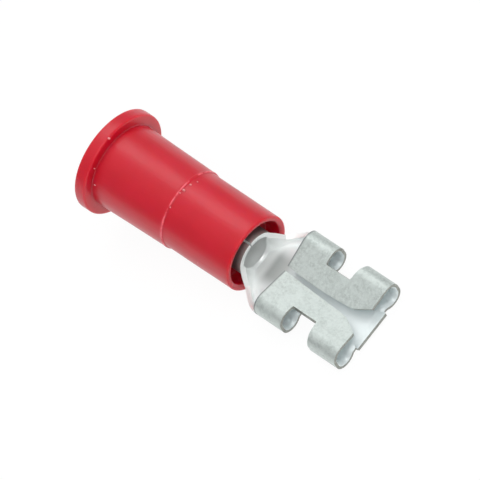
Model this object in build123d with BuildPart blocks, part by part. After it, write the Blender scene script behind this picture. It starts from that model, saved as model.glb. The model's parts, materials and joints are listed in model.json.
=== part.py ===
from build123d import *

import os
from math import acos, asin, atan2, cos, degrees, radians, sin

# Female push-on terminal for a 4.75 x 0.5 mm tab, with an insulating sleeve. Millimetres.
# It is drawn with +X along the barrel towards the tab and +Z on the side where the rolled edges
# open, and then turned about the origin by rest_tilt, to lie on the sleeve's nose and the rolls.
# The origin is on the barrel's axis, at the sleeve's rear face, where the wire goes in.

# The tab that the receptacle takes, and the sheet that the terminal is stamped from
tab_width = 4.75
tab_thickness = 0.5
tab_side_clearance = 0.175
sheet = 0.35

# Sleeve, along its length
sleeve_length = 11.25
flange_thickness = 0.8
nose_length = 5.05
mouth_depth = 1.2
barrel_stop_length = 0.34
funnel_length = 1.1

# Sleeve, outwards from the barrel
grip_clearance = 0.01
mouth_clearance = 0.62
mouth_wall = 0.4
nose_taper = 0.02
nose_step = 0.07
body_draft = 0.11
wire_wall = 0.7
flange_overhang = 0.65
flange_edge_radius = 0.12
step_edge_radius = 0.03
nose_edge_radius = 0.1

# Barrel
barrel_bore_radius = 1.08
barrel_length = 5.35
barrel_protrusion = 0.05
butt_seam = 0.06
wire_stop_radius = 0.12
wire_stop_setback = 0.15

# Neck, the scoop between the barrel and the receptacle
neck_length = 2.4
neck_stations = 6
neck_rim_height = 0.5
neck_rim_sag = 0.25
neck_rim_lean = 30
neck_inset = 0.01
neck_rim_angle = 83

# Receptacle, seen along X
floor_top = -0.03
floor_rise = 0.24
floor_bend_radius = 0.35
roll_height = 1.92
roll_bend_radius = 0.75
flange_slope = 15.8
flange_gap = 0.58

# Receptacle, seen from above
rolls_length = 6.16
window_setback = 2.05
window_length = 1.82
window_slant = 0.26
window_corner_radius = 0.1
window_flange_edge = 1.53
window_floor_edge = 1.2
mouth_chamfer_length = 1.2
mouth_chamfer_width = 0.56
flange_setback = 0.13
tongue_length = 0.2
tongue_half_width = 1.28

# Places along X
barrel_front = sleeve_length + barrel_protrusion
barrel_rear = barrel_front - barrel_length
rolls_rear = barrel_front + neck_length
rolls_front = rolls_rear + rolls_length
tongue_front = rolls_front + tongue_length
window_rear = rolls_rear + window_setback
window_front = window_rear + window_length
chamfer_rear = rolls_front - mouth_chamfer_length

# Places across and up
barrel_radius = barrel_bore_radius + sheet
half_width = tab_width / 2 + tab_side_clearance + sheet
floor_bottom = floor_top - sheet
roll_bottom = floor_bottom - floor_rise
roll_top = roll_bottom + roll_height
flange_cut_height = floor_top + tab_thickness / 4
roll_centre = half_width - roll_bend_radius
floor_bend_angle = degrees(acos(1 - floor_rise / (floor_bend_radius + roll_bend_radius)))
floor_half_width = roll_centre - (floor_bend_radius + roll_bend_radius) * sin(radians(floor_bend_angle))
flange_start = roll_centre - roll_bend_radius * sin(radians(flange_slope))
flange_run = (flange_start - flange_gap / 2) / cos(radians(flange_slope))

# Sleeve's radii and places along X
grip_radius = barrel_radius + grip_clearance
mouth_radius = barrel_radius + mouth_clearance
nose_end_radius = mouth_radius + mouth_wall
nose_radius = nose_end_radius + nose_taper
body_end_radius = nose_radius + nose_step
body_root_radius = body_end_radius + body_draft
wire_bore_radius = body_root_radius - wire_wall
flange_radius = body_root_radius + flange_overhang
body_end = sleeve_length - nose_length
mouth_start = sleeve_length - mouth_depth
grip_start = barrel_rear - grip_clearance
funnel_end = grip_start - barrel_stop_length
wire_bore_depth = funnel_end - funnel_length

# Tilt at which the nose's rounded edge and the rolls' front end both lie on a level floor
nose_to_rolls = Vector(
    rolls_front - (sleeve_length - nose_edge_radius), roll_bottom + (nose_end_radius - nose_edge_radius)
)
rest_tilt = degrees(atan2(nose_to_rolls.Y, nose_to_rolls.X) + asin(nose_edge_radius / nose_to_rolls.length))

# The rolls' lower section, from the floor's middle to the scoop's rim, as points and directions
roll_foot_centre = Vector(roll_centre, roll_bottom + roll_bend_radius)
roll_foot_radius = Vector(0, -roll_bend_radius)
neck_goals = [
    (Vector(0, floor_bottom), 0),
    (Vector(floor_half_width, floor_bottom), 0),
    (roll_foot_centre + roll_foot_radius.rotate(Axis.Z, -floor_bend_angle), -floor_bend_angle),
    (Vector(roll_centre, roll_bottom), 0),
    (roll_foot_centre + roll_foot_radius.rotate(Axis.Z, 45), 45),
    (Vector(half_width, roll_foot_centre.Y), 90),
    (Vector(half_width, neck_rim_height), 90),
]


def blend(start, end, share):
    """Value a share of the way from start to end."""
    return start + (end - start) * share


os.makedirs("parts", exist_ok=True)

# Insulating sleeve: one revolved moulding, stepped and drafted outside, with the wire bore,
# the strand funnel, the bore that grips the barrel and the relieved front mouth inside
with BuildPart() as insulating_sleeve:
    with BuildSketch(Plane.XY) as sleeve_profile:
        with BuildLine():
            Polyline(
                (0, wire_bore_radius),
                (0, flange_radius),
                (flange_thickness, flange_radius),
                (flange_thickness, body_root_radius),
                (body_end, body_end_radius),
                (body_end, nose_radius),
                (sleeve_length, nose_end_radius),
                (sleeve_length, mouth_radius),
                (mouth_start, mouth_radius),
                (mouth_start, grip_radius),
                (grip_start, grip_radius),
                (grip_start, barrel_bore_radius),
                (funnel_end, barrel_bore_radius),
                (wire_bore_depth, wire_bore_radius),
                close=True,
            )
        make_face()
        for corner, radius in (
            ((0, flange_radius), flange_edge_radius),
            ((flange_thickness, flange_radius), flange_edge_radius),
            ((body_end, body_end_radius), step_edge_radius),
            ((sleeve_length, nose_end_radius), nose_edge_radius),
        ):
            fillet(sleeve_profile.vertices().sort_by_distance(corner)[0], radius)
    revolve(axis=Axis.X)
lying_sleeve = insulating_sleeve.part.rotate(Axis.Y, rest_tilt)
lying_sleeve.label = "insulating_sleeve"
export_step(lying_sleeve, "parts/insulating_sleeve.step")


def draw_roll_surface(inset):
    """One face of one side's sheet, from the floor's middle round the roll to the flange's edge.

    The face lies at an inset from the sheet's outer face. Returns its first and last points.
    """
    floor = Line((0, floor_bottom + inset), (floor_half_width, floor_bottom + inset))
    dip = JernArc(floor @ 1, floor % 1, floor_bend_radius + inset, -floor_bend_angle)
    roll_foot = JernArc(dip @ 1, dip % 1, roll_bend_radius - inset, floor_bend_angle + 90)
    side = Line(roll_foot @ 1, (half_width - inset, roll_top - roll_bend_radius))
    roll_head = JernArc(side @ 1, side % 1, roll_bend_radius - inset, 90 + flange_slope)
    flange = Line(roll_head @ 1, roll_head @ 1 + roll_head % 1 * flange_run)
    return floor @ 0, flange @ 1


def draw_neck_section(share):
    """Closed section of the scoop, a share of the way from the barrel to the rolls.

    Each point of the barrel's lower half moves to the point of the rolls' section that it feeds.
    The section lies inside both by neck_inset, so that the scoop's ends run into them.
    """
    spread = sin(radians(90 * share))
    bulge = 4 * share * (1 - share)
    outer_points, inner_points, directions = [], [], []
    for index, (goal, goal_angle) in enumerate(neck_goals):
        edge_share = index / (len(neck_goals) - 1)
        start_angle = neck_rim_angle * edge_share
        start = Vector(barrel_radius * sin(radians(start_angle)), -barrel_radius * cos(radians(start_angle)))
        height = blend(start.Y, goal.Y, blend(spread, share**2, edge_share**2))
        point = Vector(blend(start.X, goal.X, spread), height - neck_rim_sag * bulge * edge_share**2)
        angle = blend(start_angle, goal_angle, spread) - neck_rim_lean * bulge * edge_share**2
        direction = Vector(1, 0).rotate(Axis.Z, angle)
        inward = direction.rotate(Axis.Z, 90)
        outer_points.append(point + inward * neck_inset)
        inner_points.append(point + inward * (sheet - neck_inset))
        directions.append(direction)
    outer = Spline(*both_sides(outer_points), tangents=both_sides(directions, -1))
    inner = Spline(*both_sides(inner_points), tangents=both_sides(directions, -1))
    Line(outer @ 0, inner @ 0)
    Line(outer @ 1, inner @ 1)


def both_sides(vectors, turned=1):
    """The mirror image of vectors across the middle, then the vectors, as one run from rim to rim."""
    mirrored = [Vector(-vector.X, vector.Y) * turned for vector in vectors[:0:-1]]
    return mirrored + vectors


# Terminal: one stamping. One side of the receptacle and neck is folded up from the sheet and
# mirrored, and the barrel is rolled shut behind it with its butt seam on top.
with BuildPart() as terminal:
    with BuildSketch(Plane.YZ.offset(rolls_rear)):
        with BuildLine():
            outer_start, outer_end = draw_roll_surface(0)
            inner_start, inner_end = draw_roll_surface(sheet)
            Line(outer_end, inner_end)
            Line(inner_start, outer_start)
        make_face()
    extrude(amount=tongue_front - rolls_rear)

    # Flange's front edge, chamfered at its inner corner
    with BuildSketch(Plane.XY.offset(flange_cut_height)):
        with BuildLine():
            Polyline(
                (chamfer_rear, 0),
                (chamfer_rear, flange_gap / 2),
                (rolls_front - flange_setback, flange_gap / 2 + mouth_chamfer_width),
                (rolls_front, roll_centre),
                (rolls_front, half_width),
                (tongue_front, half_width),
                (tongue_front, 0),
                close=True,
            )
        make_face()
    extrude(amount=roll_top - flange_cut_height, mode=Mode.SUBTRACT)

    # Window through the roll, cut back to one edge in the flange and another in the floor. Its
    # front edge slants, along one line for both.
    for base, height, inner_edge in (
        (flange_cut_height, roll_top - flange_cut_height, window_flange_edge),
        (roll_bottom, flange_cut_height - roll_bottom, window_floor_edge),
    ):
        slant_share = (inner_edge - window_flange_edge) / (half_width - window_flange_edge)
        with BuildSketch(Plane.XY.offset(base)) as window:
            with BuildLine():
                Polyline(
                    (window_rear, half_width),
                    (window_rear, inner_edge),
                    (window_front + window_slant * slant_share, inner_edge),
                    (window_front + window_slant, half_width),
                    close=True,
                )
            make_face()
            fillet(window.vertices().group_by(Axis.Y)[0], window_corner_radius)
        extrude(amount=height, mode=Mode.SUBTRACT)

    # Floor beside the tongue
    with BuildSketch(Plane.XY.offset(roll_bottom)) as tongue_side:
        with Locations((tongue_front, half_width)):
            Rectangle(tongue_length, half_width - tongue_half_width, align=Align.MAX)
    extrude(amount=flange_cut_height - roll_bottom, mode=Mode.SUBTRACT)

    mirror(about=Plane.XZ)

    # Scoop, lofted through sections that open out from the barrel's lower half
    for station in range(neck_stations):
        share = station / (neck_stations - 1)
        with BuildSketch(Plane.YZ.offset(barrel_front + neck_length * share)):
            with BuildLine():
                draw_neck_section(share)
            make_face()
    loft()

    # Barrel
    with BuildSketch(Plane.YZ.offset(barrel_rear)):
        Circle(barrel_radius)
        Circle(barrel_bore_radius, mode=Mode.SUBTRACT)
        with Locations((0, barrel_radius)):
            Rectangle(butt_seam, 3 * sheet, mode=Mode.SUBTRACT)
    extrude(amount=barrel_length)

    # Wire stop, a bead across the lower half of the barrel's front
    with BuildSketch(Plane.XY):
        with Locations((barrel_front - wire_stop_setback, -barrel_bore_radius)):
            Circle(wire_stop_radius)
    revolve(axis=Axis.X, revolution_arc=180)
lying_terminal = terminal.part.rotate(Axis.Y, rest_tilt)
lying_terminal.label = "terminal"
export_step(lying_terminal, "parts/terminal.step")
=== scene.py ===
import json
import logging
from dataclasses import dataclass
from enum import Enum
from math import acos, asin, atan2, cos, degrees, pi, radians, sin

import bmesh
import bpy
from mathutils import Matrix, Vector, noise

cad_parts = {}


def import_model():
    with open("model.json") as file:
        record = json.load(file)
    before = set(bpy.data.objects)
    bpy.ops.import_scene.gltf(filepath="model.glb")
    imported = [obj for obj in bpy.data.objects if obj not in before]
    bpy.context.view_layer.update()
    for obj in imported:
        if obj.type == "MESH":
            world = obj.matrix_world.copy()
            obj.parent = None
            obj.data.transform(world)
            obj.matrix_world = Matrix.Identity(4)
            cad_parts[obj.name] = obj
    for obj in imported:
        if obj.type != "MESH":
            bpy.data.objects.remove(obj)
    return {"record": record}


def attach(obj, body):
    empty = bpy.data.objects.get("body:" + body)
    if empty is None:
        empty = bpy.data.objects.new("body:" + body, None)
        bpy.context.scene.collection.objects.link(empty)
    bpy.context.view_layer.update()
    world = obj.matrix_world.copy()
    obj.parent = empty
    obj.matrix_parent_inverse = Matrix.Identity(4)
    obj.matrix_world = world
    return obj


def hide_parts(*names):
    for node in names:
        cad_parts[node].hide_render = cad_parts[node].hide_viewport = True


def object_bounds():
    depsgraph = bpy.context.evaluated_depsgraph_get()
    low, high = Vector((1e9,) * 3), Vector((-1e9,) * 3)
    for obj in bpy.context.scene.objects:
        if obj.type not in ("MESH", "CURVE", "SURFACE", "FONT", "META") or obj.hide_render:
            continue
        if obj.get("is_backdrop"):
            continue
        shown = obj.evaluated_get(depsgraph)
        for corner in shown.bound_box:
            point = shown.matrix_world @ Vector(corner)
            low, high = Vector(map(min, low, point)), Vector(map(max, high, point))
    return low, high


# Looks of a female push-on terminal with an insulating sleeve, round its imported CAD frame.
# Shapes are drawn in millimetres with +X along the barrel and +Z on the rolls' open side, and
# then laid down into the frame, in metres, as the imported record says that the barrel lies.

log = logging.getLogger("female_spade_terminal")

MM = 0.001
BODY = "root"
PHOTO_PIXELS = 480
SCOOP_LAYERS = ("across", "goal_y", "goal_z")


class Slot(Enum):
    """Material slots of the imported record."""

    SLEEVE = "sleeve"
    PLATED_SHEET = "plated_sheet"


class Node(Enum):
    """CAD nodes that the pieces stand for."""

    SLEEVE = "insulating_sleeve"
    TERMINAL = "terminal"


class Level(Enum):
    """Which of the receptacle's two layers a cut goes through."""

    UPPER = 1
    LOWER = -1


@dataclass(frozen=True)
class Lie:
    """How the barrel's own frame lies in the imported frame.

    Attributes:
        tilt: angle by which the nose points down, about the origin.
    """

    tilt: float

    @classmethod
    def from_record(cls, record: dict) -> "Lie":
        """Reads the barrel's direction from the wire entry's axis.

        Args:
            record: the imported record.

        Returns:
            The lie of the barrel.
        """
        entry = next(mount for mount in record["mounts"] if mount["name"] == "wire_entry")
        out = Vector(entry["axis"])
        return cls(atan2(out.z, -out.x))

    def turn(self) -> Matrix:
        """Rotation from the barrel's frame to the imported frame."""
        return Matrix.Rotation(self.tilt, 4, "Y")

    def down(self) -> Matrix:
        """Transform from millimetres in the barrel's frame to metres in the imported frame."""
        return self.turn() @ Matrix.Scale(MM, 4)

    def place(self, mesh: bmesh.types.BMesh) -> None:
        """Lays a mesh drawn in the barrel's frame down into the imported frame."""
        bmesh.ops.transform(mesh, matrix=self.down(), verts=mesh.verts)


class Wiring:
    """A node tree, with short ways to add and join its nodes."""

    def __init__(self, tree: bpy.types.NodeTree) -> None:
        """Takes the tree.

        Args:
            tree: the node tree of a material or a world.
        """
        self.tree = tree

    def add(self, kind: str, **values: object) -> bpy.types.Node:
        """Adds a node.

        Args:
            kind: the node's type.
            values: its attributes, or its inputs where the name is an input's with underscores.

        Returns:
            The new node.
        """
        node = self.tree.nodes.new(kind)
        for name, value in values.items():
            if hasattr(node, name):
                setattr(node, name, value)
            else:
                node.inputs[name.replace("_", " ")].default_value = value
        return node

    def join(self, source: bpy.types.NodeSocket, target: bpy.types.NodeSocket) -> None:
        """Links an output to an input."""
        self.tree.links.new(source, target)

    def spread(
        self,
        value: bpy.types.NodeSocket,
        start: tuple[float, float],
        end: tuple[float, float],
        how: str = "LINEAR",
    ) -> bpy.types.NodeSocket:
        """Maps a range of a value to another range.

        Args:
            value: the value.
            start: the range that it comes in.
            end: the range that it goes to.
            how: the interpolation.

        Returns:
            The mapped value.
        """
        ramp = self.add("ShaderNodeMapRange", interpolation_type=how)
        for name, number in zip(("From Min", "From Max", "To Min", "To Max"), (*start, *end)):
            ramp.inputs[name].default_value = number
        self.join(value, ramp.inputs["Value"])
        return ramp.outputs["Result"]

    def compute(self, how: str, first: bpy.types.NodeSocket, second: object) -> bpy.types.NodeSocket:
        """Works out a value from two.

        Args:
            how: the operation.
            first: the first value.
            second: the second value, a number or a socket.

        Returns:
            The result.
        """
        node = self.add("ShaderNodeMath", operation=how)
        self.join(first, node.inputs[0])
        if isinstance(second, bpy.types.NodeSocket):
            self.join(second, node.inputs[1])
        else:
            node.inputs[1].default_value = second
        return node.outputs[0]


class Shader(Wiring):
    """A material and its node tree."""

    def __init__(self, name: str) -> None:
        """Makes a material whose output takes one principled shader.

        Args:
            name: the material's name.
        """
        self.material = bpy.data.materials.new(name)
        self.material.use_nodes = True
        super().__init__(self.material.node_tree)
        self.surface = self.tree.nodes["Principled BSDF"]

    def barrel_coordinates(self, lie: Lie) -> bpy.types.NodeSocket:
        """Object coordinates turned back to the barrel's frame, in millimetres.

        Args:
            lie: how the barrel lies.

        Returns:
            The socket that gives them.
        """
        place = self.add("ShaderNodeTexCoord")
        level = self.add("ShaderNodeMapping")
        level.inputs["Rotation"].default_value = (0, -lie.tilt, 0)
        level.inputs["Scale"].default_value = (1 / MM, 1 / MM, 1 / MM)
        self.join(place.outputs["Object"], level.inputs["Vector"])
        return level.outputs["Vector"]

    def stretched(
        self, place: bpy.types.NodeSocket, scale: tuple[float, float, float]
    ) -> bpy.types.NodeSocket:
        """Coordinates stretched for a pattern with a direction.

        Args:
            place: the coordinates.
            scale: pattern features for each millimetre along X, Y and Z.

        Returns:
            The stretched coordinates.
        """
        mapping = self.add("ShaderNodeMapping")
        mapping.inputs["Scale"].default_value = scale
        self.join(place, mapping.inputs["Vector"])
        return mapping.outputs["Vector"]

    def grain(
        self, place: bpy.types.NodeSocket, scale: float, detail: float = 4, roughness: float = 0.6
    ) -> bpy.types.NodeSocket:
        """Noise at a scale of features for each millimetre.

        Args:
            place: the coordinates.
            scale: features for each unit of the coordinates.
            detail: octaves.
            roughness: how much of the finer octaves.

        Returns:
            The noise, from 0 to 1.
        """
        texture = self.add("ShaderNodeTexNoise", Scale=scale, Detail=detail, Roughness=roughness)
        self.join(place, texture.inputs["Vector"])
        return texture.outputs["Fac"]

    def blend(
        self, share: bpy.types.NodeSocket, first: object, second: object, how: str = "MIX"
    ) -> bpy.types.NodeSocket:
        """Mixes two colours.

        Args:
            share: how much of the second.
            first: a colour or a socket.
            second: a colour or a socket.
            how: the blend type.

        Returns:
            The mixed colour.
        """
        mix = self.add("ShaderNodeMix", data_type="RGBA", blend_type=how)
        colours = [socket for socket in mix.inputs if socket.type == "RGBA"]
        self.join(share, next(socket for socket in mix.inputs if socket.type == "VALUE"))
        for socket, colour in zip(colours, (first, second)):
            if isinstance(colour, bpy.types.NodeSocket):
                self.join(colour, socket)
            else:
                socket.default_value = (*colour, 1)
        return next(socket for socket in mix.outputs if socket.type == "RGBA")

    def relief(self, layers: list[tuple[bpy.types.NodeSocket, float, float]]) -> None:
        """Gives the surface bumps, one layer on another.

        Args:
            layers: each layer's height, strength and depth in millimetres.
        """
        normal = None
        for height, strength, depth in layers:
            bump = self.add("ShaderNodeBump", Strength=strength, Distance=depth * MM)
            self.join(height, bump.inputs["Height"])
            if normal:
                self.join(normal, bump.inputs["Normal"])
            normal = bump.outputs["Normal"]
        self.join(normal, self.surface.inputs["Normal"])


@dataclass(frozen=True)
class MouldedRed:
    """Satin red PVC, as it comes from the mould, with a painted highlight along the body's step."""

    colour: tuple[float, float, float] = (0.51, 0.002, 0.018)
    deep: tuple[float, float, float] = (0.475, 0.001, 0.013)
    roughness: tuple[float, float] = (0.28, 0.38)
    gloss: float = 0.6
    glow: float = 0.75
    glow_depth: tuple[float, float, float] = (0.9, 0.12, 0.1)
    # Painted highlight colour of the broken line round the body's step.
    painted_shading_tone: tuple[float, float, float] = (0.72, 0.14, 0.18)
    highlight_place: float = 6.15
    highlight_half_width: float = 0.05

    def make(self, lie: Lie) -> bpy.types.Material:
        """Makes the material.

        Args:
            lie: how the barrel lies.

        Returns:
            The material.
        """
        shader = Shader("moulded_red")
        place = shader.barrel_coordinates(lie)
        clouds = shader.grain(place, 0.5)
        skin = shader.grain(place, 9, 3)
        flow = shader.grain(shader.stretched(place, (0.35, 4, 4)), 1.2)
        colour = shader.blend(shader.spread(clouds, (0.35, 0.65), (0, 1)), self.deep, self.colour)
        # Painted highlight: a broken pale line round the body's step, where its edge catches the light.
        along = shader.add("ShaderNodeSeparateXYZ")
        shader.join(place, along.inputs[0])
        ahead = shader.compute("SUBTRACT", along.outputs["X"], self.highlight_place)
        off = shader.compute("ABSOLUTE", ahead, 0.0)
        line = shader.spread(off, (self.highlight_half_width / 2, self.highlight_half_width), (1, 0))
        broken = shader.spread(shader.grain(place, 1.3, 3), (0.42, 0.58), (0.05, 1))
        colour = shader.blend(shader.compute("MULTIPLY", line, broken), colour, self.painted_shading_tone)
        shader.join(colour, shader.surface.inputs["Base Color"])
        shader.join(shader.spread(flow, (0.3, 0.7), self.roughness), shader.surface.inputs["Roughness"])
        shader.surface.inputs["Specular IOR Level"].default_value = self.gloss
        shader.surface.inputs["Subsurface Weight"].default_value = self.glow
        shader.surface.inputs["Subsurface Radius"].default_value = self.glow_depth
        shader.surface.inputs["Subsurface Scale"].default_value = MM
        shader.relief([(flow, 0.3, 0.02), (skin, 0.25, 0.012)])
        return shader.material


@dataclass(frozen=True)
class MouldedFleck:
    """Pale fleck of flash or dust on the moulding."""

    colour: tuple[float, float, float] = (0.80, 0.40, 0.40)
    roughness: float = 0.5

    def make(self, lie: Lie) -> bpy.types.Material:
        """Makes the material.

        Args:
            lie: how the barrel lies.

        Returns:
            The material.
        """
        shader = Shader("moulded_fleck")
        grain = shader.grain(shader.barrel_coordinates(lie), 20)
        colour = shader.blend(grain, MouldedRed().colour, self.colour)
        shader.join(colour, shader.surface.inputs["Base Color"])
        shader.surface.inputs["Roughness"].default_value = self.roughness
        return shader.material


@dataclass(frozen=True)
class TinPlate:
    """Matte tin plate over brass sheet, a little mottled by the press."""

    name: str
    bright: tuple[float, float, float]
    dull: tuple[float, float, float]
    roughness: tuple[float, float]
    metallic: float
    pitting: float
    fineness: tuple[float, float]
    worn: bool
    # Painted shade colour, for the sleeve's mouth and the receptacle's rear edge.
    painted_shade: tuple[float, float, float] = (0.20, 0.22, 0.22)
    mouth: tuple[float, float] = (10.95, 11.32)
    rear_edge: tuple[float, float] = (13.74, 13.82)
    # Darker tone of the inner face from the scoop's front onward.
    receptacle_tone: tuple[float, float, float] = (0.72, 0.78, 0.785)
    receptacle_tone_start: tuple[float, float] = (12.2, 13.6)
    # Painted shade colour of the patch in the middle of the scoop.
    painted_shading_tone: tuple[float, float, float] = (0.44, 0.47, 0.46)
    shade_patch_start: tuple[float, float] = (11.8, 12.5)
    shade_patch_end: tuple[float, float] = (13.3, 14.4)
    shade_patch_sides: tuple[float, float] = (0.5, 1.5)

    @classmethod
    def outside(cls) -> "TinPlate":
        """The sheet's outer face, dulled by the bending tools."""
        return cls(
            "tin_plate_outside", bright=(0.65, 0.71, 0.685), dull=(0.38, 0.43, 0.41), roughness=(0.42, 0.58),
            metallic=0.75, pitting=1.0, fineness=(8, 0.75), worn=True,
        )

    @classmethod
    def inside(cls) -> "TinPlate":
        """The sheet's inner face, paler than the outer: painted light that brightens the hollows which it
        lines.
        """
        return cls(
            "tin_plate_inside", bright=(0.93, 0.96, 0.95), dull=(0.90, 0.93, 0.92), roughness=(0.34, 0.42),
            metallic=0.35, pitting=0, fineness=(8, 0.75), worn=False,
        )

    def make(self, lie: Lie) -> bpy.types.Material:
        """Makes the material.

        Args:
            lie: how the barrel lies.

        Returns:
            The material.
        """
        shader = Shader(self.name)
        place = shader.barrel_coordinates(lie)
        clouds = shader.grain(place, 1.6)
        mottle = shader.grain(place, 6, *self.fineness)
        rolling = shader.grain(shader.stretched(place, (1.2, 14, 14)), 1.5)
        patches = shader.blend(shader.spread(clouds, (0.4, 0.6), (0.3, 0.7)), self.dull, self.bright)
        colour = shader.blend(shader.spread(mottle, (0.4, 0.62), (0, 1)), patches, self.bright)
        if self.worn:
            # Painted shade on the outer face, in the sleeve's mouth and along the receptacle's rear edge.
            colour = shader.blend(self.painted_shade_share(shader, place), colour, self.painted_shade)
        else:
            along = shader.add("ShaderNodeSeparateXYZ")
            shader.join(place, along.inputs[0])
            # From the scoop's front onward the inner face goes to a darker tone; the paler tone behind it
            # brightens the barrel and scoop as painted light.
            ahead = shader.spread(along.outputs["X"], self.receptacle_tone_start, (0, 1))
            colour = shader.blend(ahead, colour, self.receptacle_tone)
            # Painted shade: a dull patch in the middle of the scoop.
            colour = shader.blend(self.painted_scoop_shade(shader, place), colour, self.painted_shading_tone)
        shader.join(colour, shader.surface.inputs["Base Color"])
        shader.surface.inputs["Metallic"].default_value = self.metallic
        shader.join(shader.spread(mottle, (0.3, 0.7), self.roughness), shader.surface.inputs["Roughness"])
        if self.pitting:
            shader.relief([(mottle, self.pitting, 0.016), (rolling, self.pitting / 4, 0.008)])
        return shader.material

    def painted_shade_share(self, shader: Shader, place: bpy.types.NodeSocket) -> bpy.types.NodeSocket:
        """Where the plate is painted dark as shade: in the sleeve's mouth, and along the receptacle's rear
        edge.

        Args:
            shader: the shader.
            place: the barrel's coordinates.

        Returns:
            The share of painted shade.
        """
        along = shader.add("ShaderNodeSeparateXYZ")
        shader.join(place, along.inputs[0])
        mouth = shader.spread(along.outputs["X"], self.mouth, (1, 0))
        start, end = self.rear_edge
        edge = shader.spread(along.outputs["X"], (start, end), (0.8, 0))
        behind = shader.compute("GREATER_THAN", along.outputs["X"], 2 * start - end - 0.05)
        return shader.compute("MAXIMUM", mouth, shader.compute("MULTIPLY", edge, behind))

    def painted_scoop_shade(self, shader: Shader, place: bpy.types.NodeSocket) -> bpy.types.NodeSocket:
        """Where a patch of painted shade darkens the plate: the middle of the scoop.

        Args:
            shader: the shader.
            place: the barrel's coordinates.

        Returns:
            The share of scuffing.
        """
        axes = shader.add("ShaderNodeSeparateXYZ")
        shader.join(place, axes.inputs[0])
        start = shader.spread(axes.outputs["X"], self.shade_patch_start, (0, 1), "SMOOTHSTEP")
        end = shader.spread(axes.outputs["X"], self.shade_patch_end, (1, 0), "SMOOTHSTEP")
        side = shader.compute("ABSOLUTE", axes.outputs["Y"], 0.0)
        middle = shader.spread(side, self.shade_patch_sides, (1, 0), "SMOOTHSTEP")
        return shader.compute("MULTIPLY", shader.compute("MINIMUM", start, end), middle)


@dataclass(frozen=True)
class ShearedEdge:
    """Edge of the sheet: plated over at the barrel and scoop, and sheared after plating further on, where it
    is dark partly as bare metal and partly as a painted reflection of dim surroundings.
    """

    plated: tuple[float, float, float] = (0.95, 0.97, 0.96)
    smeared_and_shaded: tuple[float, float, float] = (0.33, 0.345, 0.315)
    bare_and_shaded: tuple[float, float, float] = (0.22, 0.23, 0.205)
    shear_start: tuple[float, float] = (13.6, 13.75)
    roughness: float = 0.42
    metallic: float = 0.6

    def make(self, lie: Lie) -> bpy.types.Material:
        """Makes the material.

        Args:
            lie: how the barrel lies.

        Returns:
            The material.
        """
        shader = Shader("sheared_edge")
        place = shader.barrel_coordinates(lie)
        along = shader.add("ShaderNodeSeparateXYZ")
        shader.join(place, along.inputs[0])
        sheared = shader.spread(along.outputs["X"], self.shear_start, (0, 1))
        grain = shader.grain(place, 6)
        # Partly painted reflection: the sheared edges are darkened as if they mirrored dim surroundings, as
        # well as being bare metal.
        dull = shader.blend(shader.spread(grain, (0.35, 0.65), (0, 1)), self.bare_and_shaded, self.smeared_and_shaded)
        colour = shader.blend(sheared, self.plated, dull)
        shader.join(colour, shader.surface.inputs["Base Color"])
        shader.surface.inputs["Metallic"].default_value = self.metallic
        shader.surface.inputs["Roughness"].default_value = self.roughness
        return shader.material


@dataclass(frozen=True)
class BurnishedAndShadedEdge:
    """Rounded edges and the wire stop, rubbed bright, but dark along the receptacle's rear edges as painted
    shade.
    """

    bright: tuple[float, float, float] = (0.95, 0.97, 0.96)
    dark: tuple[float, float, float] = (0.20, 0.20, 0.18)
    rear_edge: float = 13.7
    half_band: float = 0.12
    roughness: float = 0.36
    metallic: float = 0.85

    def make(self, lie: Lie) -> bpy.types.Material:
        """Makes the material.

        Args:
            lie: how the barrel lies.

        Returns:
            The material.
        """
        shader = Shader("burnished_and_shaded_edge")
        along = shader.add("ShaderNodeSeparateXYZ")
        shader.join(shader.barrel_coordinates(lie), along.inputs[0])
        # Painted shade: the bevels along the receptacle's rear edges are dark.
        off = shader.compute("SUBTRACT", along.outputs["X"], self.rear_edge)
        near = shader.compute("LESS_THAN", shader.compute("ABSOLUTE", off, 0.0), self.half_band)
        shader.join(shader.blend(near, self.bright, self.dark), shader.surface.inputs["Base Color"])
        shader.surface.inputs["Metallic"].default_value = self.metallic
        shader.surface.inputs["Roughness"].default_value = self.roughness
        return shader.material


def finish_piece(
    name: str, mesh: bmesh.types.BMesh, node: Node, materials: list[bpy.types.Material]
) -> bpy.types.Object:
    """Makes an object of a mesh that is in place, and ties it to the frame.

    Args:
        name: the piece's name.
        mesh: its mesh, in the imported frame. It is freed.
        node: the CAD node that it stands for.
        materials: its materials, in the order of the faces' indices.

    Returns:
        The object.
    """
    data = bpy.data.meshes.new(name)
    mesh.to_mesh(data)
    mesh.free()
    for material in materials:
        data.materials.append(material)
    piece = bpy.data.objects.new(name, data)
    bpy.context.scene.collection.objects.link(piece)
    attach(piece, BODY)
    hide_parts(node.value)
    return piece


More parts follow.
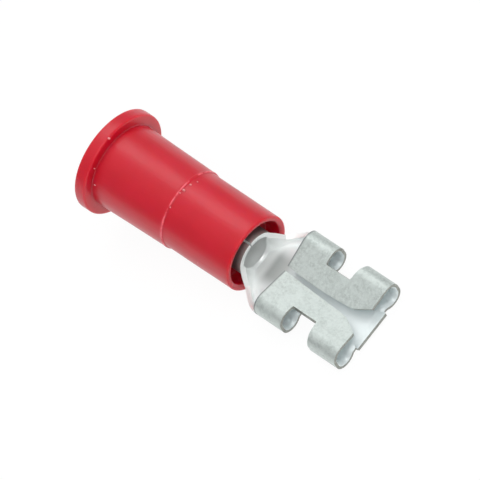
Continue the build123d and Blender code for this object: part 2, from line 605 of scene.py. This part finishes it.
@dataclass
class InsulatingSleeve:
    """The moulded sleeve: flange, drafted body, step and nose, bored from end to end."""

    length: float = 11.25
    flange_thickness: float = 0.8
    flange_radius: float = 3.3
    body_end: float = 6.2
    body_root_radius: float = 2.65
    body_end_radius: float = 2.54
    flash_height: float = 0.03
    nose_radius: float = 2.47
    nose_end_radius: float = 2.45
    mouth_radius: float = 2.05
    mouth_depth: float = 1.2
    grip_radius: float = 1.44
    grip_start: float = 5.94
    stop_radius: float = 1.08
    funnel_end: float = 5.6
    wire_bore_depth: float = 4.5
    wire_bore_radius: float = 1.95
    turns: int = 144
    waviness: float = 0.012

    def corners(self) -> list[tuple[float, float, float]]:
        """Corners of the half section: place along X, radius and rounding."""
        return [
            (0, self.wire_bore_radius, 0.08),
            (0, self.flange_radius, 0.12),
            (self.flange_thickness, self.flange_radius, 0.12),
            (self.flange_thickness, self.body_root_radius, 0.06),
            (self.body_end - 0.17, self.body_end_radius, 0.03),
            (self.body_end - 0.07, self.body_end_radius + self.flash_height, 0.05),
            (self.body_end + 0.03, self.nose_radius, 0.03),
            (self.length, self.nose_end_radius, 0.1),
            (self.length, self.mouth_radius, 0.22),
            (self.length - self.mouth_depth, self.mouth_radius, 0.05),
            (self.length - self.mouth_depth, self.grip_radius, 0.03),
            (self.grip_start, self.grip_radius, 0.02),
            (self.grip_start, self.stop_radius, 0.02),
            (self.funnel_end, self.stop_radius, 0.02),
            (self.wire_bore_depth, self.wire_bore_radius, 0.05),
        ]

    def flecks(self) -> list[tuple[float, float, float, float]]:
        """Flecks: place along X, angle from the top towards +Y, radius of the wall and size."""
        return [
            (0.8, 4.5, 3.26, 0.08),
            (0.84, -32.0, 2.9, 0.045),
            (1.0, -55.0, 2.64, 0.06),
            (6.3, 7.0, 2.475, 0.085),
            (6.24, 1.0, 2.49, 0.05),
            (6.36, 19.0, 2.475, 0.06),
            (6.5, 29.0, 2.475, 0.045),
            (6.22, -22.0, 2.49, 0.05),
            (11.1, -75.0, 2.4, 0.06),
            (8.9, -78.0, 2.46, 0.04),
        ]

    def turned(self) -> bmesh.types.BMesh:
        """Turns the half section about the barrel's axis.

        Returns:
            The closed moulding.
        """
        mesh = bmesh.new()
        corners = self.corners()
        points = [mesh.verts.new((x, 0, radius)) for x, radius, _ in corners]
        for first, second in zip(points, points[1:] + points[:1]):
            mesh.edges.new((first, second))
        for point, (_, _, rounding) in zip(points, corners):
            bmesh.ops.bevel(
                mesh, geom=[point], offset=rounding, segments=4, profile=0.5, affect="VERTICES", material=-1
            )
        long_edges = [edge for edge in mesh.edges if edge.calc_length() > 0.5]
        for edge in long_edges:
            bmesh.ops.subdivide_edges(mesh, edges=[edge], cuts=int(edge.calc_length() / 0.25))
        bmesh.ops.spin(
            mesh, geom=mesh.verts[:] + mesh.edges[:], cent=(0, 0, 0), axis=(1, 0, 0), angle=2 * pi,
            steps=self.turns, use_merge=True,
        )
        bmesh.ops.remove_doubles(mesh, verts=mesh.verts, dist=0.0005)
        bmesh.ops.recalc_face_normals(mesh, faces=mesh.faces)
        return mesh

    def settle(self, mesh: bmesh.types.BMesh) -> None:
        """Gives the moulding the slight waviness of cooled plastic."""
        for vertex in mesh.verts:
            away = Vector((0, vertex.co.y, vertex.co.z)).normalized()
            vertex.co += away * self.waviness * noise.noise(vertex.co * 0.45)

    def add_flecks(self, mesh: bmesh.types.BMesh) -> None:
        """Adds the flecks, half sunk in the wall, on the second material."""
        for x, angle, radius, size in self.flecks():
            turn = radians(angle)
            spot = Matrix.Translation((x, radius * sin(turn), radius * cos(turn)))
            flat = Matrix.Rotation(-turn, 4, "X") @ Matrix.Diagonal((1.3, 0.9, 0.6, 1))
            grown = bmesh.ops.create_icosphere(mesh, subdivisions=2, radius=size, matrix=spot @ flat)
            for face in {face for vertex in grown["verts"] for face in vertex.link_faces}:
                face.material_index = 1

    def build(self, lie: Lie) -> bpy.types.Object:
        """Builds and dresses the sleeve.

        Args:
            lie: how the barrel lies.

        Returns:
            The finished piece.
        """
        mesh = self.turned()
        self.settle(mesh)
        self.add_flecks(mesh)
        for face in mesh.faces:
            face.smooth = True
        lie.place(mesh)
        materials = [MouldedRed().make(lie), MouldedFleck().make(lie)]
        return finish_piece("insulating_sleeve_moulding", mesh, Node.SLEEVE, materials)


@dataclass
class Terminal:
    """The folded stamping: rolled barrel, scoop, floor, rolls and flanges."""

    sheet: float = 0.3
    edge_rounding: float = 0.055
    barrel_radius: float = 1.43
    barrel_rear: float = 5.95
    barrel_front: float = 11.3
    seam: float = 0.12
    stop_crest: float = 11.07
    stop_reach: tuple[float, float] = (0.07, 0.2)
    stop_height: float = 0.14
    rolls_rear: float = 13.7
    rolls_front: float = 19.86
    tongue_length: float = 0.2
    tongue_half_width: float = 1.28
    half_width: float = 2.9
    floor_bottom: float = -0.33
    floor_rise: float = 0.29
    floor_bend_radius: float = 0.35
    roll_top: float = 1.3
    roll_radius: float = 0.75
    flange_slope: float = 15.8
    flange_gap: float = 0.58
    flange_slant: float = 0.28
    flange_bow: float = 0.12
    layer_split: float = 0.095
    window_rear: float = 15.75
    window_front: float = 17.57
    window_slant: float = 0.26
    window_upper_edge: float = 1.53
    window_lower_edge: float = 1.2
    window_rounding: float = 0.1
    chamfer_rear: float = 18.66
    chamfer_width: float = 0.56
    flange_setback: float = 0.13
    rim_height: float = 0.5
    rim_sag: float = 0.25
    rim_angle: float = 83
    step: float = 0.16
    bend_step: float = 7
    least_edge: float = 0.02
    fillet_angle: float = 25
    fillet_length: float = 0.65
    flare_length: float = 0.26
    flare_thinning: float = 0.12

    def run(self, mesh: bmesh.types.BMesh, tip: bmesh.types.BMVert, way: Vector) -> bmesh.types.BMVert:
        """Draws the section on in a straight line, in even steps.

        Args:
            mesh: the mesh that holds the section.
            tip: its last vertex.
            way: how far it goes, and where.

        Returns:
            The new last vertex.
        """
        steps = max(1, round(way.length / (self.step / 2)))
        for _ in range(steps):
            tip = bmesh.ops.extrude_vert_indiv(mesh, verts=[tip])["verts"][0]
            bmesh.ops.translate(mesh, verts=[tip], vec=way / steps)
        return tip

    def bend(
        self, mesh: bmesh.types.BMesh, tip: bmesh.types.BMVert, centre: Vector, angle: float
    ) -> bmesh.types.BMVert:
        """Draws the section on round an arc.

        Args:
            mesh: the mesh that holds the section.
            tip: its last vertex.
            centre: the arc's centre.
            angle: the turn in degrees, from +Y towards +Z.

        Returns:
            The new last vertex.
        """
        bent = bmesh.ops.spin(
            mesh,
            geom=[tip],
            cent=centre,
            axis=(1, 0, 0),
            angle=radians(angle),
            steps=max(2, round(abs(angle) / self.bend_step)),
        )
        return next(item for item in bent["geom_last"] if isinstance(item, bmesh.types.BMVert))

    def draw_section(self, mesh: bmesh.types.BMesh) -> None:
        """Draws one side's outer face across the sheet, from the floor's middle to the flange's edge.

        The lower part, up to the scoop's rim, also remembers where each point ends and how far
        across the scoop it lies.

        Args:
            mesh: an empty mesh.
        """
        radius = self.roll_radius
        for name in SCOOP_LAYERS:
            mesh.verts.layers.float.new(name)
        foot_height = self.floor_bottom - self.floor_rise + radius
        foot = Vector((self.rolls_rear, self.half_width - radius, foot_height))
        dip_angle = degrees(acos(1 - self.floor_rise / (self.floor_bend_radius + radius)))
        floor_edge = foot.y - (self.floor_bend_radius + radius) * sin(radians(dip_angle))
        tip = mesh.verts.new((self.rolls_rear, 0, self.floor_bottom))
        corners = [tip]
        tip = self.run(mesh, tip, Vector((0, floor_edge, 0)))
        corners.append(tip)
        below = Vector((self.rolls_rear, floor_edge, self.floor_bottom - self.floor_bend_radius))
        tip = self.bend(mesh, tip, below, -dip_angle)
        corners.append(tip)
        for angle in (dip_angle, 45, 45):
            tip = self.bend(mesh, tip, foot, angle)
            corners.append(tip)
        tip = self.run(mesh, tip, Vector((0, 0, self.rim_height - foot.z)))
        corners.append(tip)
        self.remember_scoop(mesh, corners)
        head = Vector((self.rolls_rear, foot.y, self.roll_top - radius))
        tip = self.run(mesh, tip, Vector((0, 0, head.z - self.rim_height)))
        tip = self.bend(mesh, tip, head, 90 + self.flange_slope)
        fall = radians(self.flange_slope)
        length = (tip.co.y - self.flange_gap / 2) / cos(fall)
        self.run(mesh, tip, Vector((0, -cos(fall), -sin(fall))) * length)

    def remember_scoop(self, mesh: bmesh.types.BMesh, corners: list[bmesh.types.BMVert]) -> None:
        """Writes on each vertex of the lower section its place across the scoop and its goal.

        Args:
            mesh: the mesh that holds the section so far.
            corners: its vertices at even shares across, from the middle to the rim.
        """
        across, goal_y, goal_z = (mesh.verts.layers.float[name] for name in SCOOP_LAYERS)
        mesh.verts.ensure_lookup_table()
        mesh.verts.index_update()
        marks = [corner.index for corner in corners]
        for number, (start, end) in enumerate(zip(marks, marks[1:])):
            for index in range(start, end + 1):
                vertex = mesh.verts[index]
                vertex[across] = (number + (index - start) / (end - start)) / (len(corners) - 1)
        for vertex in mesh.verts:
            vertex[goal_y], vertex[goal_z] = vertex.co.y, vertex.co.z

    def push(
        self, mesh: bmesh.types.BMesh, edges: list[bmesh.types.BMEdge], way: float
    ) -> list[bmesh.types.BMEdge]:
        """Extrudes edges along X.

        Args:
            mesh: the mesh.
            edges: the edges to extrude.
            way: how far.

        Returns:
            The edges at the new end.
        """
        made = bmesh.ops.extrude_edge_only(mesh, edges=edges)["geom"]
        vertices = [item for item in made if isinstance(item, bmesh.types.BMVert)]
        bmesh.ops.translate(mesh, verts=vertices, vec=(way, 0, 0))
        fresh = set(vertices)
        return [
            item for item in made if isinstance(item, bmesh.types.BMEdge) and fresh.issuperset(item.verts)
        ]

    def form_scoop(self, mesh: bmesh.types.BMesh) -> None:
        """Extrudes the lower section back through the scoop into the barrel's lower part."""
        across = mesh.verts.layers.float["across"]
        edges = [
            edge
            for edge in mesh.edges
            if all(abs(v.co.x - self.rolls_rear) < 0.001 for v in edge.verts)
            and all(v.co.z < self.rim_height + 0.001 for v in edge.verts)
            and abs(edge.verts[0][across] - edge.verts[1][across]) > 0.0001
        ]
        steps = 14
        for number in range(steps):
            edges = self.push(mesh, edges, (self.barrel_front - self.rolls_rear) / steps)
            share = 1 - (number + 1) / steps
            for vertex in dict.fromkeys(vertex for edge in edges for vertex in edge.verts):
                self.shape_scoop(mesh, vertex, share)
        for way in (-0.04, -0.05, -0.05, -0.05, -0.04, -0.04, -0.04, -0.29, -0.6, -1.2, -1.5, -1.45):
            edges = self.push(mesh, edges, way)

    def shape_scoop(self, mesh: bmesh.types.BMesh, vertex: bmesh.types.BMVert, share: float) -> None:
        """Moves a vertex to its place in the scoop.

        Args:
            mesh: the mesh.
            vertex: the vertex, already at its place along X.
            share: how far it is from the barrel to the rolls.
        """
        layers = mesh.verts.layers.float
        across = vertex[layers["across"]]
        goal = Vector((vertex[layers["goal_y"]], vertex[layers["goal_z"]]))
        angle = radians(self.rim_angle * across)
        start = Vector((sin(angle), -cos(angle))) * self.barrel_radius
        spread = sin(radians(90 * share))
        lift = spread + (share**2 - spread) * across**2
        vertex.co.y = start.x + (goal.x - start.x) * spread
        vertex.co.z = start.y + (goal.y - start.y) * lift - self.rim_sag * 4 * share * (1 - share) * across**2

    def gauge(self, mesh: bmesh.types.BMesh) -> None:
        """Writes how thick the sheet is, as shares of the wire stop's thickness.

        The wire stop is a low ridge inside the barrel's lower half, near its front. The inner face
        flares a little at the rolls' front edges.
        """
        layer = mesh.verts.layers.deform.verify()
        behind, before = self.stop_reach
        for vertex in mesh.verts:
            off = vertex.co.x - self.stop_crest
            share = max(0, 1 - (off / (before if off > 0 else behind)) ** 2)
            around = atan2(abs(vertex.co.y), -vertex.co.z)
            fade = min(1, max(0, (radians(100) - around) / radians(20)))
            thick = self.sheet + self.stop_height * share * fade
            for edge in (self.window_rear, self.rolls_front):
                if edge - self.flare_length < vertex.co.x < edge + 0.001:
                    thick -= self.flare_thinning * (1 - (edge - vertex.co.x) / self.flare_length) ** 2
            vertex[layer][0] = thick / (self.sheet + self.stop_height)

    def skew_flanges(self, mesh: bmesh.types.BMesh) -> None:
        """Moves the flanges' edges a little, as the press left them: one slants and one bows."""
        fall = sin(radians(self.flange_slope)) / cos(radians(self.flange_slope))
        root = self.half_width - self.roll_radius
        for vertex in mesh.verts:
            x, y, z = vertex.co
            if abs(y) > root or z < self.layer_split or x < self.rolls_rear - 0.001:
                continue
            along = (x - self.rolls_rear) / (self.chamfer_rear - self.rolls_rear)
            slant = self.flange_slant * max(0, 1 - along)
            bow = self.flange_bow * max(0, sin(pi * along))
            inwards = slant if y < 0 else bow
            inwards *= ((root - abs(y)) / (root - self.flange_gap / 2)) ** 2
            vertex.co.y += inwards if y < 0 else -inwards
            vertex.co.z -= inwards * fall

    def close_barrel(self, mesh: bmesh.types.BMesh) -> None:
        """Rolls the barrel's sides up to the butt seam, with a fillet where the scoop's rim begins."""
        across = mesh.verts.layers.float["across"]
        reach = self.barrel_front + self.fillet_length
        edges = [edge for edge in mesh.edges if all(v[across] > 0.999 and v.co.x < reach for v in edge.verts)]
        steps = 5
        for _ in range(steps):
            made = bmesh.ops.extrude_edge_only(mesh, edges=edges)["geom"]
            fresh = {item for item in made if isinstance(item, bmesh.types.BMVert)}
            for vertex in fresh:
                ahead = min(1, max(0, (vertex.co.x - self.barrel_front) / self.fillet_length))
                turn = Matrix.Rotation(radians(self.fillet_angle) * (1 - ahead) ** 2 / steps, 4, "X")
                bmesh.ops.rotate(mesh, verts=[vertex], cent=(0, 0, 0), matrix=turn)
            lines = [item for item in made if isinstance(item, bmesh.types.BMEdge)]
            edges = [edge for edge in lines if fresh.issuperset(edge.verts)]
        rim = [edge for edge in edges if all(v.co.x < self.barrel_front + 0.001 for v in edge.verts)]
        seam_angle = asin(self.seam / 2 / self.barrel_radius)
        geometry = list(dict.fromkeys(vertex for edge in rim for vertex in edge.verts)) + rim
        closing = radians(180 - self.rim_angle - self.fillet_angle) - seam_angle
        bmesh.ops.spin(mesh, geom=geometry, cent=(0, 0, 0), axis=(1, 0, 0), angle=closing, steps=12)

    def cut(self, mesh: bmesh.types.BMesh, outline: list[tuple[float, float]], level: Level) -> None:
        """Cuts an outline, seen from above, through one layer of the receptacle.

        Args:
            mesh: the mesh.
            outline: the outline's corners, anticlockwise or clockwise, and convex.
            level: the layer that it goes through.
        """
        low = Vector((min(x for x, _ in outline), min(y for _, y in outline)))
        high = Vector((max(x for x, _ in outline), max(y for _, y in outline)))

        def touched() -> list[bmesh.types.BMFace]:
            """Faces of the layer that reach into the outline's box."""
            return [
                face
                for face in mesh.faces
                if (face.calc_center_median().z - self.layer_split) * level.value > 0
                and min(v.co.x for v in face.verts) < high.x
                and max(v.co.x for v in face.verts) > low.x
                and min(v.co.y for v in face.verts) < high.y + 0.001
                and max(v.co.y for v in face.verts) > low.y
            ]

        for (x1, y1), (x2, y2) in zip(outline, outline[1:] + outline[:1]):
            faces = touched()
            around = dict.fromkeys(edge for face in faces for edge in face.edges)
            corners = dict.fromkeys(vertex for face in faces for vertex in face.verts)
            bmesh.ops.bisect_plane(
                mesh, geom=faces + list(around) + list(corners), dist=0.0005,
                plane_co=(x1, y1, 0), plane_no=(y2 - y1, x1 - x2, 0),
            )
        middle = Vector((sum(x for x, _ in outline), sum(y for _, y in outline))) / len(outline)
        inside = [face for face in touched() if self.within(face.calc_center_median(), outline, middle)]
        bmesh.ops.delete(mesh, geom=inside, context="FACES")

    def within(self, point: Vector, outline: list[tuple[float, float]], middle: Vector) -> bool:
        """Whether a point, seen from above, is on the middle's side of every edge of an outline."""
        for (x1, y1), (x2, y2) in zip(outline, outline[1:] + outline[:1]):
            normal = Vector((y2 - y1, x1 - x2))
            side = normal.dot(middle - Vector((x1, y1)))
            if normal.dot(Vector((point.x - x1, point.y - y1))) * side < 0:
                return False
        return True

    def window(self, inner: float) -> list[tuple[float, float]]:
        """Outline of the window through a roll, with rounded inner corners.

        Args:
            inner: the window's inner edge.

        Returns:
            The outline's corners.
        """
        beyond = 2 * self.half_width - self.window_upper_edge
        slant = self.window_slant / (self.half_width - self.window_upper_edge)
        front = self.window_front + slant * (inner - self.window_upper_edge)
        rounding = self.window_rounding
        arc = [(rounding * (1 - cos(radians(a))), rounding * (1 - sin(radians(a)))) for a in (0, 30, 60, 90)]
        return [
            (self.window_rear, beyond),
            *[(self.window_rear + x, inner + y) for x, y in arc],
            *[(front - x, inner + y) for x, y in reversed(arc)],
            (front + slant * (beyond - inner), beyond),
        ]

    def cut_sheet(self, mesh: bmesh.types.BMesh) -> None:
        """Cuts the windows, the flange's front and the floor beside the tongue."""
        end = self.rolls_front + self.tongue_length + 0.1
        tip = (self.rolls_front - self.flange_setback, self.flange_gap / 2 + self.chamfer_width)
        roll_centre = self.half_width - self.roll_radius
        beyond = self.half_width + 0.5
        self.cut(mesh, self.window(self.window_upper_edge), Level.UPPER)
        self.cut(mesh, self.window(self.window_lower_edge), Level.LOWER)
        chamfer = [(self.chamfer_rear, 0.2), (self.chamfer_rear, self.flange_gap / 2), tip, (tip[0], 0.2)]
        self.cut(mesh, chamfer, Level.UPPER)
        front = [(tip[0], 0.2), tip, (self.rolls_front, roll_centre), (end, roll_centre), (end, 0.2)]
        self.cut(mesh, front, Level.UPPER)
        for inner_rear, inner_front, level in (
            (roll_centre - 0.1, roll_centre - 0.1, Level.UPPER),
            (self.tongue_half_width + 0.06, self.tongue_half_width - 0.03, Level.LOWER),
        ):
            beside = [
                (self.rolls_front, inner_rear), (self.rolls_front, beyond), (end, beyond), (end, inner_front),
            ]
            self.cut(mesh, beside, level)

    def folded(self) -> bmesh.types.BMesh:
        """Folds the whole sheet's outer face.

        Returns:
            The sheet with no thickness yet, its faces turned outwards.
        """
        mesh = bmesh.new()
        self.draw_section(mesh)
        edges = mesh.edges[:]
        length = self.rolls_front + self.tongue_length - self.rolls_rear
        steps = round(length / self.step)
        for _ in range(steps):
            edges = self.push(mesh, edges, length / steps)
        self.form_scoop(mesh)
        self.close_barrel(mesh)
        self.cut_sheet(mesh)
        everything = mesh.verts[:] + mesh.edges[:] + mesh.faces[:]
        bmesh.ops.mirror(mesh, geom=everything, axis="Y", merge_dist=0.0005)
        bmesh.ops.remove_doubles(mesh, verts=mesh.verts, dist=0.0005)
        ordered = sorted(mesh.verts, key=lambda vertex: tuple(vertex.co))
        bmesh.ops.remove_doubles(mesh, verts=ordered, dist=self.least_edge)
        bmesh.ops.dissolve_degenerate(mesh, edges=mesh.edges, dist=0.0005)
        bmesh.ops.recalc_face_normals(mesh, faces=mesh.faces)
        lowest = min(mesh.faces, key=lambda face: face.calc_center_median().z)
        if lowest.normal.z > 0:
            bmesh.ops.reverse_faces(mesh, faces=mesh.faces)
        self.skew_flanges(mesh)
        self.gauge(mesh)
        stop_middle = self.stop_crest + self.stop_reach[1] / 2
        for face in mesh.faces:
            if abs(face.calc_center_median().x - stop_middle) < self.stop_reach[1] / 2:
                face.material_index = 2
        return mesh

    def build(self, lie: Lie) -> bpy.types.Object:
        """Builds and dresses the terminal.

        Args:
            lie: how the barrel lies.

        Returns:
            The finished piece.
        """
        mesh = self.folded()
        for face in mesh.faces:
            face.smooth = True
        lie.place(mesh)
        outside, inside = TinPlate.outside().make(lie), TinPlate.inside().make(lie)
        materials = [outside, inside, outside, BurnishedAndShadedEdge().make(lie), ShearedEdge().make(lie)]
        piece = finish_piece("terminal_stamping", mesh, Node.TERMINAL, materials)
        thickness = piece.modifiers.new("sheet", "SOLIDIFY")
        thickness.thickness = (self.sheet + self.stop_height) * MM
        thickness.vertex_group = piece.vertex_groups.new(name="gauge").name
        thickness.offset = -1
        thickness.use_even_offset = True
        thickness.use_quality_normals = True
        thickness.material_offset, thickness.material_offset_rim = 1, 4
        rounding = piece.modifiers.new("sheared_edges", "BEVEL")
        rounding.width = self.edge_rounding * MM
        rounding.segments = 3
        rounding.limit_method = "ANGLE"
        rounding.angle_limit = radians(50)
        rounding.material = 3
        piece.modifiers.new("face_weighted", "WEIGHTED_NORMAL")
        return piece


@dataclass
class Studio:
    """The photograph's camera, a pale floor and soft light."""

    look_at: tuple[float, float, float] = (10, 0, 0)
    towards_camera: tuple[float, float, float] = (0.466, -0.1514, 0.8717)
    right: tuple[float, float, float] = (0.7359, 0.6133, -0.2869)
    distance: float = 400
    pixels_per_mm: float = 17.503
    shift_pixels: tuple[float, float] = (0.529, 3.19)
    sensor: float = 36
    key_direction: tuple[float, float, float] = (-0.47, 0.46, 0.755)
    lamp_distance: float = 130
    key_size: float = 70
    key_power: float = 0.023
    front_direction: tuple[float, float, float] = (0.55, -0.1, 0.83)
    front_size: float = 85
    front_power: float = 0.03
    wash_direction: tuple[float, float, float] = (0.0, 0.05, 1.0)
    wash_size: float = 130
    wash_power: float = 0.14
    room_direction: tuple[float, float, float] = (-0.47, 0.34, 0.81)
    room_reach: tuple[float, float] = (0.2, 0.97)
    room_glow: tuple[float, float] = (0.46, 0.88)
    room_light: float = 0.6
    floor_size: float = 1.5
    floor_white: float = 0.97
    floor_glow: float = 0.94

    def place_camera(self, lie: Lie) -> None:
        """Makes the scene's camera, as fitted to the photograph."""
        back = Vector(self.towards_camera).normalized()
        right = Vector(self.right)
        right = (right - back * right.dot(back)).normalized()
        up = back.cross(right)
        spot = Vector(self.look_at) + back * self.distance
        spot += (up * self.shift_pixels[1] - right * self.shift_pixels[0]) / self.pixels_per_mm
        turn = lie.turn().to_3x3()
        camera = bpy.data.cameras.new("photo_camera")
        camera.sensor_width = self.sensor
        camera.lens = self.pixels_per_mm * self.distance * self.sensor / PHOTO_PIXELS
        camera.clip_start, camera.clip_end = 0.01, 10
        holder = bpy.data.objects.new("photo_camera", camera)
        bpy.context.scene.collection.objects.link(holder)
        axes = Matrix((turn @ right, turn @ up, turn @ back)).transposed()
        holder.matrix_world = Matrix.Translation(turn @ spot * MM) @ axes.to_4x4()
        bpy.context.scene.camera = holder

    def add_lamp(
        self, name: str, lie: Lie, direction: tuple[float, float, float], size: float, power: float
    ) -> bpy.types.Object:
        """Adds a square soft light that faces the terminal.

        Args:
            name: its name.
            lie: how the barrel lies.
            direction: where it stands, in the barrel's frame.
            size: its side, in millimetres.
            power: its power in watts.

        Returns:
            The lamp's object.
        """
        lamp = bpy.data.lights.new(name, "AREA")
        lamp.energy, lamp.size = power, size * MM
        holder = bpy.data.objects.new(name, lamp)
        bpy.context.scene.collection.objects.link(holder)
        turn = lie.turn().to_3x3()
        away = turn @ Vector(direction).normalized()
        holder.location = turn @ Vector(self.look_at) * MM + away * self.lamp_distance * MM
        holder.rotation_mode = "QUATERNION"
        holder.rotation_quaternion = away.to_track_quat("Z", "Y")
        return holder

    def lay_floor(self, height: float) -> None:
        """Lays the pale floor at the height on which the terminal rests."""
        mesh = bmesh.new()
        place = Matrix.Translation((0, 0, height))
        bmesh.ops.create_grid(mesh, x_segments=1, y_segments=1, size=self.floor_size, matrix=place)
        data = bpy.data.meshes.new("floor")
        mesh.to_mesh(data)
        mesh.free()
        floor = bpy.data.objects.new("floor", data)
        bpy.context.scene.collection.objects.link(floor)
        floor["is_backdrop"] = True
        shader = Shader("floor_white")
        shader.surface.inputs["Base Color"].default_value = (self.floor_white,) * 3 + (1,)
        shader.surface.inputs["Roughness"].default_value = 0.9
        shown = shader.add("ShaderNodeEmission", Strength=1.0)
        glow = shader.compute("MULTIPLY", self.seen_rays(shader), self.floor_glow)
        mix = self.choose(shader, glow, shader.surface, shown)
        shader.join(mix.outputs[0], shader.tree.nodes["Material Output"].inputs["Surface"])
        data.materials.append(shader.material)

    def seen_rays(self, wiring: Wiring) -> bpy.types.NodeSocket:
        """Rays that show the background: the camera's, and those reflected or let through.

        Args:
            wiring: the tree that asks.

        Returns:
            One for such rays, and zero for others.
        """
        rays = wiring.add("ShaderNodeLightPath")
        glossy, through = rays.outputs["Is Glossy Ray"], rays.outputs["Is Transmission Ray"]
        bounced = wiring.compute("MAXIMUM", glossy, through)
        return wiring.compute("MAXIMUM", rays.outputs["Is Camera Ray"], bounced)

    def light_world(self, lie: Lie) -> None:
        """Lights the scene from a pale room that is brightest behind the key light.

        Args:
            lie: how the barrel lies.
        """
        world = bpy.data.worlds.new("studio")
        world.use_nodes = True
        bpy.context.scene.world = world
        wiring = Wiring(world.node_tree)
        wiring.tree.nodes.clear()
        place = wiring.add("ShaderNodeTexCoord")
        facing = wiring.add("ShaderNodeVectorMath", operation="DOT_PRODUCT")
        facing.inputs[1].default_value = lie.turn().to_3x3() @ Vector(self.room_direction).normalized()
        wiring.join(place.outputs["Generated"], facing.inputs[0])
        glow = wiring.spread(facing.outputs["Value"], self.room_reach, self.room_glow, "SMOOTHSTEP")
        rays = wiring.add("ShaderNodeLightPath")
        shown = wiring.add("ShaderNodeBackground", Strength=1)
        even = wiring.add("ShaderNodeBackground", Strength=self.room_light)
        mirrored = wiring.add("ShaderNodeBackground")
        wiring.join(glow, mirrored.inputs["Strength"])
        glossy, through = rays.outputs["Is Glossy Ray"], rays.outputs["Is Transmission Ray"]
        bounced = wiring.compute("MAXIMUM", glossy, through)
        indoors = self.choose(wiring, bounced, even, mirrored)
        output = wiring.add("ShaderNodeOutputWorld")
        everywhere = self.choose(wiring, rays.outputs["Is Camera Ray"], indoors, shown)
        wiring.join(everywhere.outputs[0], output.inputs["Surface"])

    def choose(
        self, wiring: Wiring, share: bpy.types.NodeSocket, first: bpy.types.Node, second: bpy.types.Node
    ) -> bpy.types.Node:
        """Mixes two shaders.

        Args:
            wiring: their tree.
            share: how much of the second.
            first: a shader node.
            second: a shader node.

        Returns:
            The mixing node.
        """
        mix = wiring.add("ShaderNodeMixShader")
        wiring.join(share, mix.inputs[0])
        wiring.join(first.outputs[0], mix.inputs[1])
        wiring.join(second.outputs[0], mix.inputs[2])
        return mix

    def build(self, lie: Lie, floor_height: float) -> None:
        """Sets up the whole studio.

        Args:
            lie: how the barrel lies.
            floor_height: the floor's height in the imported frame, in metres.
        """
        bpy.context.scene.view_settings.view_transform = "Standard"
        self.place_camera(lie)
        self.lay_floor(floor_height)
        self.light_world(lie)
        self.add_lamp("key_light", lie, self.key_direction, self.key_size, self.key_power)
        self.add_lamp("front_light", lie, self.front_direction, self.front_size, self.front_power)
        wash = self.add_lamp("wash_light", lie, self.wash_direction, self.wash_size, self.wash_power)
        wash.visible_glossy = False


def main() -> None:
    """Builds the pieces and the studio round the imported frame."""
    logging.basicConfig(level=logging.INFO, format="%(name)s: %(message)s")
    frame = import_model()
    cad_low, cad_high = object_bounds()
    lie = Lie.from_record(frame["record"])
    for maker in (InsulatingSleeve(), Terminal()):
        piece = maker.build(lie)
        log.info("%s: %d vertices", piece.name, len(piece.data.vertices))
    Studio().build(lie, cad_low.z)


if __name__ == "__main__":
    main()
